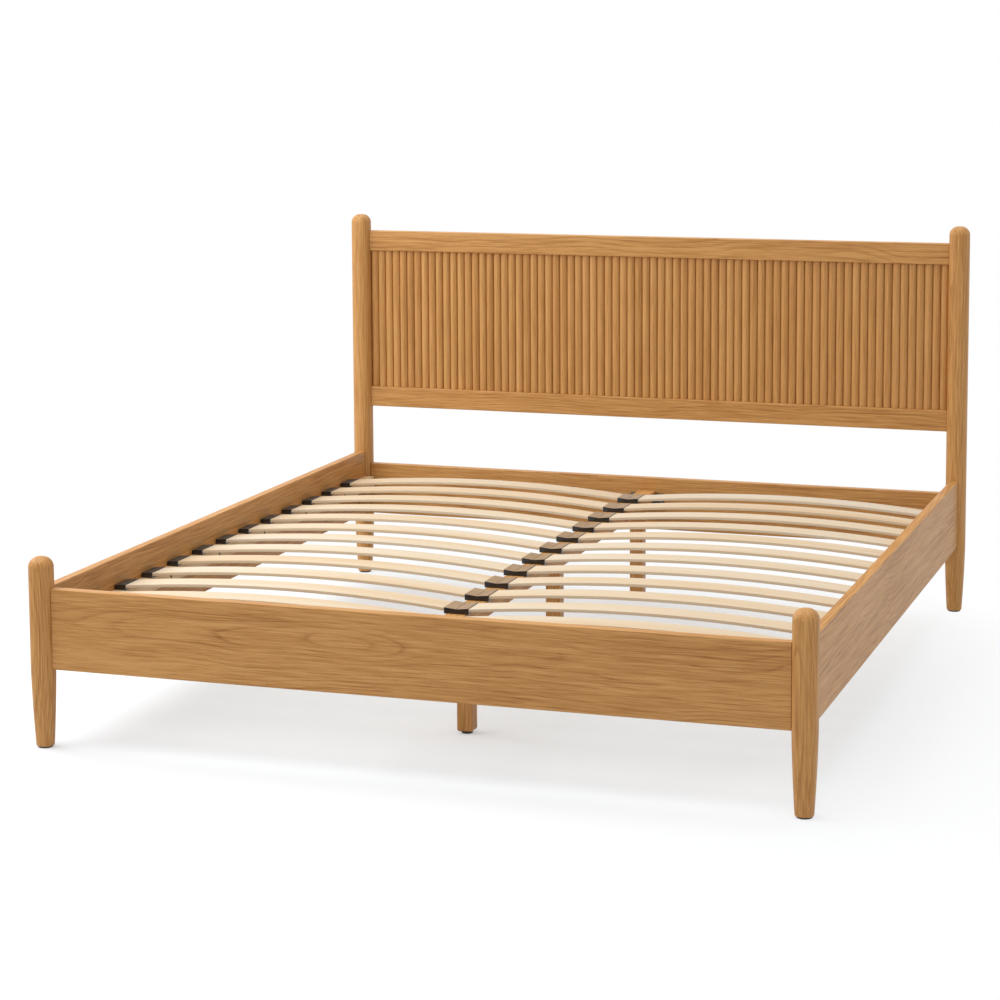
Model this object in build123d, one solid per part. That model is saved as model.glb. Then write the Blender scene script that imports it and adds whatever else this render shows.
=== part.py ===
from build123d import *
import math
import os

# Sizes are in millimetres. X runs across the bed, Y from the foot to the head and Z up from the floor.
# The origin is on the floor, under the middle of the frame.

# Mattress that the frame is made for, and the room left round it
mattress_width = 1800.0
mattress_length = 2000.0
mattress_side_gap = 4.0
mattress_end_gap = 19.0

# Posts: rounded-square section, domed top, foot that tapers in a slight curve
post_size = 58.0
post_corner_radius = 26.0
post_top_round = 25.0
post_round_margin = 1.0
post_foot_size = 42.0
post_foot_corner_radius = 19.0
post_taper_swell = 2.0
foot_post_height = 461.0
head_post_height = 1120.0

# Glides under the posts
glide_radius = 18.0
glide_height = 4.0
glide_edge = 1.0
glide_pin_radius = 2.5
glide_pin_length = 14.0

# Rails of the bed: inner faces stand inside the post axes by the rail offset
rail_bottom = 191.0
rail_height = 195.0
rail_thickness = 25.0
rail_offset = 15.0
rail_edge_round = 3.0
head_rail_drop = 39.0

# Headboard: two rails, a panel in grooves and crowned reeds with straight sides glued on its front
headboard_top = 1070.0
headboard_bottom = 526.0
headboard_rail_height = 61.0
headboard_rail_thickness = 28.0
headboard_front_offset = 7.0
headboard_edge_round = 3.0
reed_count = 76
reed_depth = 9.5
reed_side_height = 4.0
reed_spacing_gap = 2.0
reed_end_gap = 0.3
reed_recess = 7.0
panel_thickness = 6.0
panel_groove_depth = 8.0
panel_clearance = 0.2

# Slats: thin bowed strips in two columns
slat_rows = 12
slat_width = 70.0
slat_thickness = 8.0
slat_crown = 24.0
slat_edge_chamfer = 1.5
slat_foot_margin = 215.0
slat_head_margin = 184.0
slat_recess = 77.0
slat_clearance = 0.3
slat_end_play = 0.5

# Holders that cap the slat ends, with pegs that push into the wood below
side_holder_width = 30.0
side_holder_back = 4.0
side_holder_gap = 1.0
centre_holder_width = 62.0
centre_holder_web = 5.0
holder_floor = 2.0
holder_roof = 1.8
holder_cheek = 2.3
holder_edge_round = 1.2
peg_radius = 4.0
peg_length = 12.0
peg_spacing = 44.0
peg_clearance = 0.15
peg_hole_spare = 1.0

# Ledgers on the side rails
ledger_width = 30.0
ledger_height = 35.0
ledger_end_gap = 2.0
ledger_screw_radius = 2.5
ledger_screw_head_radius = 5.0
ledger_screw_bite = 16.0
ledger_screw_every = 2

# Centre beam and its hangers
beam_width = 50.0
beam_height = 40.0
beam_end_gap = 0.5
bracket_sheet = 2.0
bracket_depth = 42.0
bracket_cheek_height = 34.0
bracket_ear = 24.0
bracket_side_clearance = 0.3
bracket_screw_radius = 2.0
bracket_screw_head_radius = 4.0
bracket_screw_head_height = 2.2
bracket_screw_length = 18.0
bracket_screw_inset = 8.0

# Legs under the beam: each stands so many quarter pitches of the slats behind the first row
front_leg_steps = 5
middle_leg_steps = 24
rear_leg_steps = 46
leg_size = 39.0
leg_edge_round = 2.0
leg_foot_chamfer = 4.0
leg_bolt_radius = 4.0
leg_bolt_in_beam = 24.0
leg_bolt_in_leg = 36.0
leg_insert_radius = 6.0
leg_insert_length = 16.0

# Levelling feet that screw down out of the legs
foot_disc_radius = 14.0
foot_disc_height = 6.0
foot_disc_edge = 1.2
foot_stem_radius = 4.0
foot_stem_length = 30.0
foot_stem_clearance = 0.3
foot_hole_spare = 2.0

# Bolted joints of the side rails, worked from pockets on the inside
bolt_radius = 4.0
bolt_hole_clearance = 0.4
bolt_head_across = 13.0
bolt_head_height = 5.3
bolt_first = 30.0
bolt_spacing = 34.0
bolt_set_back = 40.0
bolt_bite = 16.0
bolt_tip_spare = 4.0
washer_radius = 8.0
washer_height = 1.6
pocket_length = 26.0
pocket_height = 28.0
pocket_clearance = 0.5
insert_radius = 6.0
insert_length = 18.0

# Dowels in the rail ends
dowel_radius = 5.0
dowel_in_post = 20.0
dowel_in_rail = 20.0
dowel_inset = 30.0
headboard_dowel_spacing = 30.0
hole_clearance = 0.1
hole_spare = 1.0

# Places worked out from the sizes above
clear_width = mattress_width + 2 * mattress_side_gap
clear_length = mattress_length + 2 * mattress_end_gap
rail_top = rail_bottom + rail_height
head_rail_top = rail_top - head_rail_drop
inner_x = clear_width / 2
inner_y = clear_length / 2
rail_mid_x = inner_x + rail_thickness / 2
rail_mid_y = inner_y + rail_thickness / 2
post_x = inner_x + rail_offset
post_y = inner_y + rail_offset
post_half = post_size / 2
rail_end_x = post_x - post_half
rail_end_y = post_y - post_half

headboard_front = post_y - headboard_front_offset
headboard_back = headboard_front + headboard_rail_thickness
headboard_mid_y = headboard_front + headboard_rail_thickness / 2
bottom_rail_top = headboard_bottom + headboard_rail_height
top_rail_bottom = headboard_top - headboard_rail_height
panel_front = headboard_front + reed_recess + reed_depth
panel_back = panel_front + panel_thickness

ledger_top = rail_top - slat_recess
beam_bottom = ledger_top - beam_height
row_pitch = (clear_length - slat_foot_margin - slat_head_margin) / (slat_rows - 1)
row_y = [slat_foot_margin - inner_y + row * row_pitch for row in range(slat_rows)]
leg_steps = {"front": front_leg_steps, "middle": middle_leg_steps, "rear": rear_leg_steps}
leg_y = {name: row_y[0] + steps * row_pitch / 4 for name, steps in leg_steps.items()}

slat_inner_end = centre_holder_web / 2 + slat_end_play
slat_outer_end = inner_x - side_holder_gap - side_holder_back - slat_end_play
slat_length = slat_outer_end - slat_inner_end
slat_radius = (slat_length ** 2 / 4 + slat_crown ** 2) / (2 * slat_crown)
slat_seat = ledger_top + holder_floor + slat_clearance
holder_depth = slat_width + 2 * (slat_clearance + holder_cheek)

bolt_levels = (rail_bottom + bolt_first, rail_bottom + bolt_first + bolt_spacing)

SIDES = {"left": -1, "right": 1}
ENDS = {"foot": -1, "head": 1}


def block(low, high):
    """A box between two opposite corners, given in any order."""
    start = [min(pair) for pair in zip(low, high)]
    size = [abs(a - b) for a, b in zip(low, high)]
    return Pos(*start) * Box(*size, align=(Align.MIN, Align.MIN, Align.MIN))


def rod(start, direction, radius, length):
    """A round bar from a point, along a direction."""
    return extrude(Plane(origin=start, z_dir=direction) * Circle(radius), amount=length)


def sleeve(start, direction, outer, inner, length):
    """A round tube from a point, along a direction."""
    return rod(start, direction, outer, length) - rod(start, direction, inner, length)


def beside(side, distance):
    """An X place on one side of the bed."""
    return SIDES[side] * distance


def end_dowels(side, y, levels):
    """Centres of the dowels at one end of a rail that runs across the bed."""
    return [(beside(side, rail_end_x), y, level) for level in levels]


foot_rail_levels = (rail_bottom + dowel_inset, rail_top - dowel_inset)
head_rail_levels = (rail_bottom + dowel_inset, head_rail_top - dowel_inset)
side_rail_level = rail_top - dowel_inset


def headboard_levels(low):
    """Heights of the two dowels in the end of a headboard rail."""
    middle = low + headboard_rail_height / 2
    return (middle - headboard_dowel_spacing / 2, middle + headboard_dowel_spacing / 2)


def cross_dowels(side, end):
    """Places where dowels cross from the rails that run across the bed into one post."""
    if end == "foot":
        return end_dowels(side, -rail_mid_y, foot_rail_levels)
    places = end_dowels(side, rail_mid_y, head_rail_levels)
    for low in (headboard_bottom, top_rail_bottom):
        places += end_dowels(side, headboard_mid_y, headboard_levels(low))
    return places


def long_dowel(side, end):
    """Place of the dowel between a side rail and one post."""
    return (beside(side, rail_mid_x), ENDS[end] * rail_end_y, side_rail_level)


def dowel_rod(place, direction, radius, spare):
    """A dowel, or with spare length its hole: half of it in the rail and half in the post."""
    start = Vector(place) - Vector(direction) * (dowel_in_rail + spare)
    return rod(start, direction, radius, dowel_in_rail + dowel_in_post + 2 * spare)


def dowel_hole(place, direction):
    return dowel_rod(place, direction, dowel_radius + hole_clearance, hole_spare)


def bolt_points(side, end):
    """Points on the axis of each rail bolt, where the rail end meets the post."""
    return [(beside(side, rail_mid_x), ENDS[end] * rail_end_y, level) for level in bolt_levels]


# Posts

def post_section(size, radius, level):
    return Plane.XY.offset(level) * RectangleRounded(size, size, radius)


def post_blank(height):
    """A post standing on its glide, before its joints are cut."""
    shaft = extrude(post_section(post_size, post_corner_radius, rail_bottom), amount=height - rail_bottom)
    top_edges = shaft.edges().group_by(Axis.Z)[-1]
    shaft = fillet(top_edges, min(post_top_round, post_corner_radius - post_round_margin))
    middle_size = (post_size + post_foot_size) / 2 + post_taper_swell
    middle_radius = (post_corner_radius + post_foot_corner_radius) / 2
    middle_level = (glide_height + rail_bottom) / 2
    taper = loft([
        post_section(post_foot_size, post_foot_corner_radius, glide_height),
        post_section(middle_size, middle_radius, middle_level),
        post_section(post_size, post_corner_radius, rail_bottom),
    ])
    return shaft + taper


def panel_block(side_room, groove):
    """The headboard panel, or with room added the groove that holds it."""
    reach = panel_groove_depth + groove
    return block(
        (-rail_end_x - reach, panel_front - side_room, bottom_rail_top - reach),
        (rail_end_x + reach, panel_back + side_room, top_rail_bottom + reach),
    )


def post(side, end):
    """One post in its place, with its holes and, at the head, the panel groove."""
    height = head_post_height if end == "head" else foot_post_height
    x = beside(side, post_x)
    y = ENDS[end] * post_y
    body = Pos(x, y, 0) * post_blank(height)
    outward = (SIDES[side], 0, 0)
    along = (0, ENDS[end], 0)
    cuts = [dowel_hole(place, outward) for place in cross_dowels(side, end)]
    cuts.append(dowel_hole(long_dowel(side, end), along))
    for point in bolt_points(side, end):
        cuts.append(rod(point, along, insert_radius + hole_clearance, insert_length))
        cuts.append(rod(point, along, bolt_radius + bolt_hole_clearance, insert_length + bolt_tip_spare))
    pin_hole = glide_pin_length + hole_spare
    cuts.append(rod((x, y, glide_height), (0, 0, 1), glide_pin_radius + hole_clearance, pin_hole))
    if end == "head":
        cuts.append(panel_block(panel_clearance, hole_spare))
    return body - cuts


def corner_glide(side, end):
    """A disc with a pin that is pushed into the foot of a post."""
    x = beside(side, post_x)
    y = ENDS[end] * post_y
    disc = rod((x, y, 0), (0, 0, 1), glide_radius, glide_height)
    disc = chamfer(disc.edges().group_by(Axis.Z)[0], glide_edge)
    pin_start = glide_height / 2
    return disc + rod((x, y, pin_start), (0, 0, 1), glide_pin_radius, glide_pin_length + pin_start)


# Rails of the bed

def cross_rail(y_inner, y_outer, low, high, round_edge):
    """A rail between the posts on the two sides."""
    body = block((-rail_end_x, y_inner, low), (rail_end_x, y_outer, high))
    return fillet(body.edges().filter_by(Axis.X), round_edge)


def drilled_cross_rail(body, y, levels):
    cuts = []
    for side in SIDES:
        outward = (SIDES[side], 0, 0)
        cuts += [dowel_hole(place, outward) for place in end_dowels(side, y, levels)]
    return body - cuts


def bracket_screw_places(end):
    """Centres of the screw heads on one beam hanger, on the rail's inner face."""
    y = ENDS[end] * inner_y
    middle = beam_bottom - bracket_sheet + bracket_cheek_height / 2
    out = beam_width / 2 + bracket_side_clearance + bracket_sheet + bracket_ear / 2
    rise = bracket_cheek_height / 2 - bracket_screw_inset
    return [(x, y, middle + z) for x in (-out, out) for z in (-rise, rise)]


def bracket_screw_hole(place, end):
    return rod(place, (0, ENDS[end], 0), bracket_screw_radius + hole_clearance, bracket_screw_length)


def end_rail(end):
    """The foot rail or the lower head rail."""
    y_inner = ENDS[end] * inner_y
    y_outer = ENDS[end] * (inner_y + rail_thickness)
    top = head_rail_top if end == "head" else rail_top
    levels = head_rail_levels if end == "head" else foot_rail_levels
    body = cross_rail(y_inner, y_outer, rail_bottom, top, rail_edge_round)
    body = drilled_cross_rail(body, ENDS[end] * rail_mid_y, levels)
    return body - [bracket_screw_hole(place, end) for place in bracket_screw_places(end)]


def bolt_pocket(side, point, end):
    """The opening on a side rail's inner face that gives room to turn one bolt."""
    x, y, level = point
    wall = y - ENDS[end] * bolt_set_back
    depth = rail_thickness / 2 + washer_radius + pocket_clearance
    return block(
        (beside(side, inner_x), wall, level - pocket_height / 2),
        (beside(side, inner_x + depth), wall - ENDS[end] * pocket_length, level + pocket_height / 2),
    )


def ledger_screw_rows():
    """Y places of the ledger screws, midway between slat rows."""
    return [row_y[row] + row_pitch / 2 for row in range(0, slat_rows - 1, ledger_screw_every)]


ledger_middle = ledger_top - ledger_height / 2


def ledger_screw(side, y, room):
    """A countersunk screw through a ledger into the side rail, or with room added its hole."""
    start = (beside(side, inner_x - ledger_width), y, ledger_middle)
    axis = (SIDES[side], 0, 0)
    shank = rod(start, axis, ledger_screw_radius + room, ledger_width + ledger_screw_bite + room)
    slope = ledger_screw_head_radius - ledger_screw_radius
    face = Plane(origin=start, z_dir=axis)
    head = loft([
        face * Circle(ledger_screw_head_radius + room),
        face.offset(slope) * Circle(ledger_screw_radius + room),
    ])
    return shank + head


def side_rail(side):
    """A side rail with pockets and holes for its bolts, a dowel hole at each end and screw holes."""
    body = block(
        (beside(side, inner_x), -rail_end_y, rail_bottom),
        (beside(side, inner_x + rail_thickness), rail_end_y, rail_top),
    )
    body = fillet(body.edges().filter_by(Axis.Y), rail_edge_round)
    cuts = [ledger_screw(side, y, hole_clearance) for y in ledger_screw_rows()]
    for end in ENDS:
        inward = (0, -ENDS[end], 0)
        cuts.append(dowel_hole(long_dowel(side, end), inward))
        for point in bolt_points(side, end):
            cuts.append(bolt_pocket(side, point, end))
            cuts.append(rod(point, inward, bolt_radius + bolt_hole_clearance, bolt_set_back))
    return body - cuts


# Bolted joints and dowels

def bolt_set(point, end):
    """One hex bolt, its washer and the threaded insert that it turns into."""
    along = Vector(0, ENDS[end], 0)
    wall = Vector(point) - along * bolt_set_back
    under_head = wall - along * washer_height
    shank = rod(under_head, along, bolt_radius, washer_height + bolt_set_back + bolt_bite)
    head_face = Plane(origin=under_head, z_dir=-along)
    hexagon = RegularPolygon(bolt_head_across / 2, 6, major_radius=False)
    head = extrude(head_face * hexagon, amount=bolt_head_height)
    washer = sleeve(under_head, along, washer_radius, bolt_radius + hole_clearance, washer_height)
    insert = sleeve(point, along, insert_radius, bolt_radius + hole_clearance, insert_length)
    return head + shank, washer, insert


def frame_dowel_list():
    dowels = []
    for side in SIDES:
        for end in ENDS:
            outward = (SIDES[side], 0, 0)
            dowels += [dowel_rod(place, outward, dowel_radius, 0) for place in cross_dowels(side, end)]
            dowels.append(dowel_rod(long_dowel(side, end), (0, ENDS[end], 0), dowel_radius, 0))
    return dowels


# Headboard

def headboard_rail(low):
    """A headboard rail with its dowel holes and the panel groove."""
    high = low + headboard_rail_height
    body = cross_rail(headboard_front, headboard_back, low, high, headboard_edge_round)
    body = drilled_cross_rail(body, headboard_mid_y, headboard_levels(low))
    return body - panel_block(panel_clearance, hole_spare)


def reed_list():
    """Strips with crowned fronts, side by side on the front of the panel."""
    pitch = 2 * rail_end_x / reed_count
    half = (pitch - reed_spacing_gap) / 2
    low = bottom_rail_top + reed_end_gap
    length = top_rail_bottom - reed_end_gap - low
    shoulder = panel_front - reed_side_height
    corners = [(half, shoulder), (half, panel_front), (-half, panel_front), (-half, shoulder)]
    outline = ThreePointArc(corners[-1], (0, panel_front - reed_depth), corners[0])
    outline += [Line(start, stop) for start, stop in zip(corners, corners[1:])]
    strip = extrude(Plane.XY.offset(low) * make_face(outline), amount=length)
    return [Pos((index + 0.5) * pitch - rail_end_x, 0, 0) * strip for index in range(reed_count)]


# Slats and their holders

def slat_height(x, radius):
    """Height above the slat's end of an arc of that radius about the centre of the bow."""
    return math.sqrt(radius ** 2 - (x - slat_length / 2) ** 2) - slat_radius + slat_crown


def slat_arc(radius, x_start, x_end):
    middle = (x_start + x_end) / 2
    return ThreePointArc(*[(x, slat_height(x, radius)) for x in (x_start, middle, x_end)])


def slat_strip(room):
    """A bowed strip that starts at X = 0, or with room added the space that it needs."""
    low = slat_arc(slat_radius - room, -room, slat_length + room)
    high = slat_arc(slat_radius + slat_thickness + room, -room, slat_length + room)
    ends = [Line(low @ 0, high @ 0), Line(low @ 1, high @ 1)]
    face = Plane.XZ * make_face([low, high, *ends])
    return extrude(face, amount=slat_width / 2 + room, both=True)


def slat_blank():
    strip = slat_strip(0)
    return chamfer(strip.edges().filter_by(GeomType.CIRCLE), slat_edge_chamfer)


def slat_start(side):
    """X place of the low-X end of a slat."""
    return slat_inner_end if side == "right" else -slat_outer_end


def holder_block(side, x_low, x_high):
    """A holder's outside on the row at Y = 0, with a flat bottom and a roof that follows the slat."""
    start = slat_start(side)
    roof_radius = slat_radius + slat_thickness + slat_clearance + holder_roof
    roof = slat_arc(roof_radius, x_low - start, x_high - start)
    feet = [(end.X, ledger_top - slat_seat) for end in (roof @ 0, roof @ 1)]
    outline = [roof, Line(roof @ 0, feet[0]), Line(*feet), Line(feet[1], roof @ 1)]
    body = extrude(Plane.XZ * make_face(outline), amount=holder_depth / 2, both=True)
    return Pos(start, 0, slat_seat) * body


def soften_holder(body, joined_at=None):
    """Round a holder's edges, but for those of its bottom and of a face where it joins another half."""
    upper = [edge for group in body.edges().group_by(Axis.Z)[1:] for edge in group]
    if joined_at is not None:
        upper = [edge for edge in upper if abs(edge.center().X - joined_at) > holder_edge_round]
    return fillet(upper, holder_edge_round)


def holder_pegs(x):
    inside = ledger_top + holder_floor / 2
    places = [(x, y, inside) for y in (-peg_spacing / 2, peg_spacing / 2)]
    return [rod(place, (0, 0, -1), peg_radius, peg_length + holder_floor / 2) for place in places]


def side_peg_x(side):
    return beside(side, inner_x - ledger_width / 2)


def slat_space(side):
    return Pos(slat_start(side), 0, slat_seat) * slat_strip(slat_clearance)


def side_holder(side):
    outer = beside(side, inner_x - side_holder_gap)
    inner = beside(side, inner_x - side_holder_gap - side_holder_width)
    body = soften_holder(holder_block(side, min(outer, inner), max(outer, inner)))
    return body + holder_pegs(side_peg_x(side)) - slat_space(side)


def centre_holder():
    half = centre_holder_width / 2
    left = soften_holder(holder_block("left", -half, 0), joined_at=0)
    right = soften_holder(holder_block("right", 0, half), joined_at=0)
    return left + right + holder_pegs(0) - [slat_space(side) for side in SIDES]


def peg_holes(x):
    """Holes for the pegs of every row, in a batten below the holders."""
    depth = peg_length + peg_hole_spare
    places = [(x, y + step, ledger_top) for y in row_y for step in (-peg_spacing / 2, peg_spacing / 2)]
    return [rod(place, (0, 0, -1), peg_radius + peg_clearance, depth) for place in places]


def ledger(side):
    reach = rail_end_y - ledger_end_gap
    body = block(
        (beside(side, inner_x - ledger_width), -reach, ledger_top - ledger_height),
        (beside(side, inner_x), reach, ledger_top),
    )
    cuts = peg_holes(side_peg_x(side))
    cuts += [ledger_screw(side, y, hole_clearance) for y in ledger_screw_rows()]
    return body - cuts


# Centre beam, its hangers and its legs

def centre_beam():
    reach = inner_y - bracket_sheet - beam_end_gap
    body = block((-beam_width / 2, -reach, beam_bottom), (beam_width / 2, reach, ledger_top))
    cuts = peg_holes(0)
    for y in leg_y.values():
        depth = leg_bolt_in_beam + hole_spare
        cuts.append(rod((0, y, beam_bottom), (0, 0, 1), leg_bolt_radius + hole_clearance, depth))
    return body - cuts


def beam_bracket(end):
    """A sheet-metal hanger: a back plate with ears, a seat and two cheeks."""
    half = beam_width / 2 + bracket_side_clearance
    low = beam_bottom - bracket_sheet
    high = low + bracket_cheek_height
    back = ENDS[end] * inner_y
    plate = ENDS[end] * (inner_y - bracket_sheet)
    front = ENDS[end] * (inner_y - bracket_depth)
    outer = half + bracket_sheet
    body = block((-outer - bracket_ear, back, low), (outer + bracket_ear, plate, high))
    body += block((-outer, back, low), (outer, front, beam_bottom))
    for side in SIDES:
        body += block((beside(side, half), back, low), (beside(side, outer), front, high))
    room = bracket_screw_radius + hole_clearance
    cuts = [rod(place, (0, -ENDS[end], 0), room, bracket_sheet) for place in bracket_screw_places(end)]
    return body - cuts


def bracket_screw(place, end):
    along = Vector(0, ENDS[end], 0)
    under_head = Vector(place) - along * bracket_sheet
    shank = rod(under_head, along, bracket_screw_radius, bracket_screw_length)
    head = rod(under_head, -along, bracket_screw_head_radius, bracket_screw_head_height)
    far_face = head.faces().sort_by(Axis.Y)[-1 if end == "foot" else 0]
    head = fillet(far_face.edges(), bracket_screw_head_height / 2)
    return shank + head


def leg_section(size, level):
    return Plane.XY.offset(level) * RectangleRounded(size, size, leg_edge_round)


def centre_leg(y):
    """A square leg from its levelling foot up to the beam, with a hole at each end."""
    shoulder = foot_disc_height + leg_foot_chamfer
    body = extrude(leg_section(leg_size, shoulder), amount=beam_bottom - shoulder)
    body += loft([
        leg_section(leg_size - 2 * leg_foot_chamfer, foot_disc_height),
        leg_section(leg_size, shoulder),
    ], ruled=True)
    body = Pos(0, y, 0) * body
    stem_hole = foot_stem_length + foot_hole_spare
    bolt_hole = leg_bolt_in_leg + hole_spare
    cuts = [
        rod((0, y, beam_bottom), (0, 0, -1), leg_bolt_radius + hole_clearance, bolt_hole),
        rod((0, y, foot_disc_height), (0, 0, 1), leg_insert_radius + hole_clearance, leg_insert_length),
        rod((0, y, foot_disc_height), (0, 0, 1), foot_stem_radius + foot_stem_clearance, stem_hole),
    ]
    return body - cuts


def leg_insert(y):
    bore = foot_stem_radius + foot_stem_clearance
    return sleeve((0, y, foot_disc_height), (0, 0, 1), leg_insert_radius, bore, leg_insert_length)


def leg_bolt(y):
    start = (0, y, beam_bottom - leg_bolt_in_leg)
    return rod(start, (0, 0, 1), leg_bolt_radius, leg_bolt_in_leg + leg_bolt_in_beam)


def levelling_foot(y):
    disc = rod((0, y, 0), (0, 0, 1), foot_disc_radius, foot_disc_height)
    disc = chamfer(disc.edges().group_by(Axis.Z)[0], foot_disc_edge)
    stem_start = foot_disc_height / 2
    return disc + rod((0, y, stem_start), (0, 0, 1), foot_stem_radius, foot_stem_length + stem_start)


# The named pieces

nodes = {}
for side in SIDES:
    for end in ENDS:
        nodes[f"{end}_post_{side}"] = post(side, end)
    nodes[f"side_rail_{side}"] = side_rail(side)
    nodes[f"slat_ledger_{side}"] = ledger(side)
    holder = side_holder(side)
    nodes[f"side_slat_holders_{side}"] = [Pos(0, y, 0) * holder for y in row_y]

nodes["foot_rail"] = end_rail("foot")
nodes["head_rail"] = end_rail("head")
nodes["headboard_top_rail"] = headboard_rail(top_rail_bottom)
nodes["headboard_bottom_rail"] = headboard_rail(headboard_bottom)
nodes["headboard_back_panel"] = panel_block(0, 0)
nodes["headboard_reeds"] = reed_list()

nodes["centre_beam"] = centre_beam()
nodes["beam_brackets"] = [beam_bracket(end) for end in ENDS]
screw_places = [(place, end) for end in ENDS for place in bracket_screw_places(end)]
nodes["bracket_screws"] = [bracket_screw(place, end) for place, end in screw_places]
middle_holder = centre_holder()
nodes["centre_slat_holders"] = [Pos(0, y, 0) * middle_holder for y in row_y]

for name, y in leg_y.items():
    nodes[f"centre_leg_{name}"] = centre_leg(y)
    nodes[f"levelling_foot_{name}"] = levelling_foot(y)
nodes["leg_bolts"] = [leg_bolt(y) for y in leg_y.values()]
nodes["leg_inserts"] = [leg_insert(y) for y in leg_y.values()]

slat = slat_blank()
for side in SIDES:
    for row, y in enumerate(row_y):
        nodes[f"slat_{side}_{row + 1:02d}"] = Pos(slat_start(side), y, slat_seat) * slat

joints = [bolt_set(point, end) for side in SIDES for end in ENDS for point in bolt_points(side, end)]
bolts, washers, inserts = zip(*joints)
nodes["rail_bolts"] = list(bolts)
nodes["rail_washers"] = list(washers)
nodes["post_inserts"] = list(inserts)
nodes["frame_dowels"] = frame_dowel_list()
nodes["ledger_screws"] = [ledger_screw(side, y, 0) for side in SIDES for y in ledger_screw_rows()]
nodes["corner_glides"] = [corner_glide(side, end) for side in SIDES for end in ENDS]

os.makedirs("parts", exist_ok=True)
for name, shape in nodes.items():
    pieces = shape if isinstance(shape, list) else [shape]
    solids = [solid for piece in pieces for solid in piece.solids()]
    export_step(Compound(solids) if len(solids) > 1 else solids[0], f"parts/{name}.step")
print(len(nodes), "nodes, slat length", round(slat_length, 1), "row pitch", round(row_pitch, 2))
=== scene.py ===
# %% [markdown]
# # An oak bed frame with a reeded headboard
# The bed was first drawn as solids: posts, rails, slats, holders and the hardware between them. This lesson
# dresses those solids. Each wooden piece is shaped again with eased edges and its own grain, and each finish
# is mixed from nodes. All is in metres: X runs across the bed, Y from foot to head, Z up from the floor.

# %% Load the solids
import math
import random

import bmesh
import bpy
from mathutils import Matrix, Vector


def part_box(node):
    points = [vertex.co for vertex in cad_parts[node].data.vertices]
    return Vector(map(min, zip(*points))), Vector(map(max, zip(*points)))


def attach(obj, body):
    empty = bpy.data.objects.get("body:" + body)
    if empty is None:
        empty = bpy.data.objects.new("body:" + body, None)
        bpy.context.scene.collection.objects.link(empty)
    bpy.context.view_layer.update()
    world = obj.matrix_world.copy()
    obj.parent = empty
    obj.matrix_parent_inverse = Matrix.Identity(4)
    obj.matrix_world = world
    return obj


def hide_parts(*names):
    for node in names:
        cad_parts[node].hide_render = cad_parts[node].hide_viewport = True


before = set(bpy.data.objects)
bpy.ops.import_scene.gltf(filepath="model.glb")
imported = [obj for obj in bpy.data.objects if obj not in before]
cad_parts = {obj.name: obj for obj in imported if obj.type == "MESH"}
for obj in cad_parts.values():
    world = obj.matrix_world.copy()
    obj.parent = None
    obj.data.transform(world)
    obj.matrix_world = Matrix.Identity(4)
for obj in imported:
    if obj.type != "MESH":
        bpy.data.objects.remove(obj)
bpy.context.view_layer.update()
scene = bpy.context.scene

# %% [markdown]
# ## The viewpoint
# The photographer stood at the foot end, to the right and higher than the headboard, and kept the posts
# upright by sliding the frame down instead of tilting the camera. Here a long lens with some tilt and a little
# shift comes close to that. The numbers come from fitting the corners of the solids to the picture.

# %% Camera
CAMERA_PLACE = (2.0572, -6.4287, 1.7225)
TURN, TILT, ROLL = math.radians(18.568), math.radians(6.854), math.radians(-0.3)

camera = bpy.data.objects.new("camera", bpy.data.cameras.new("camera"))
camera.data.sensor_width = 36.0
camera.data.lens = 93.96
camera.data.shift_x = -0.0063
camera.data.shift_y = -0.17
facing = Matrix.Rotation(TURN, 4, "Z") @ Matrix.Rotation(math.pi / 2 - TILT, 4, "X")
camera.matrix_world = Matrix.Translation(CAMERA_PLACE) @ facing @ Matrix.Rotation(ROLL, 4, "Z")
scene.collection.objects.link(camera)
scene.camera = camera
scene.view_settings.view_transform = "Standard"
print("camera", round(camera.data.lens, 1), "mm")

# %% [markdown]
# ## Wiring nodes
# A material is a small circuit. These helpers add one node at a time and wire it up, so that a finish further
# on reads like a recipe. A wire is either a plain value or the output of an earlier node.

# %% Node helpers
def wire(tree, socket, value):
    """Feed a socket from another node's output, or set its plain value."""
    if isinstance(value, bpy.types.NodeSocket):
        tree.links.new(value, socket)
    else:
        socket.default_value = value


def add(tree, kind, **wires):
    """Add a shader node and wire its named inputs."""
    node = tree.nodes.new("ShaderNode" + kind)
    for name, value in wires.items():
        wire(tree, node.inputs[name.replace("_", " ")], value)
    return node


def maths(tree, operation, *values, clamp=False):
    """One sum on numbers."""
    node = tree.nodes.new("ShaderNodeMath")
    node.operation = operation
    node.use_clamp = clamp
    for socket, value in zip(node.inputs, values):
        wire(tree, socket, value)
    return node.outputs[0]


def spread(tree, value, low, high, new_low=0.0, new_high=1.0):
    """Carry a value from one range to another, held inside it."""
    node = add(tree, "MapRange", Value=value, From_Min=low, From_Max=high, To_Min=new_low, To_Max=new_high)
    return node.outputs[0]


def mix_colours(tree, share, first, second, way="MIX"):
    """Lay the second colour over the first by a share."""
    node = tree.nodes.new("ShaderNodeMix")
    node.data_type = "RGBA"
    node.blend_type = way
    for index, value in ((0, share), (6, first), (7, second)):
        wire(tree, node.inputs[index], value)
    return node.outputs[2]


def drawn_noise(tree, place, waves, detail=2.0, roughness=0.5):
    """Noise stretched by how many waves fit in a metre each way: returns its value and its colour."""
    scaled = tree.nodes.new("ShaderNodeVectorMath")
    scaled.operation = "MULTIPLY"
    wire(tree, scaled.inputs[0], place)
    wire(tree, scaled.inputs[1], waves)
    node = add(tree, "TexNoise", Vector=scaled.outputs[0], Scale=1.0, Detail=detail, Roughness=roughness)
    return node.outputs[0], node.outputs[1]


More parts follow.
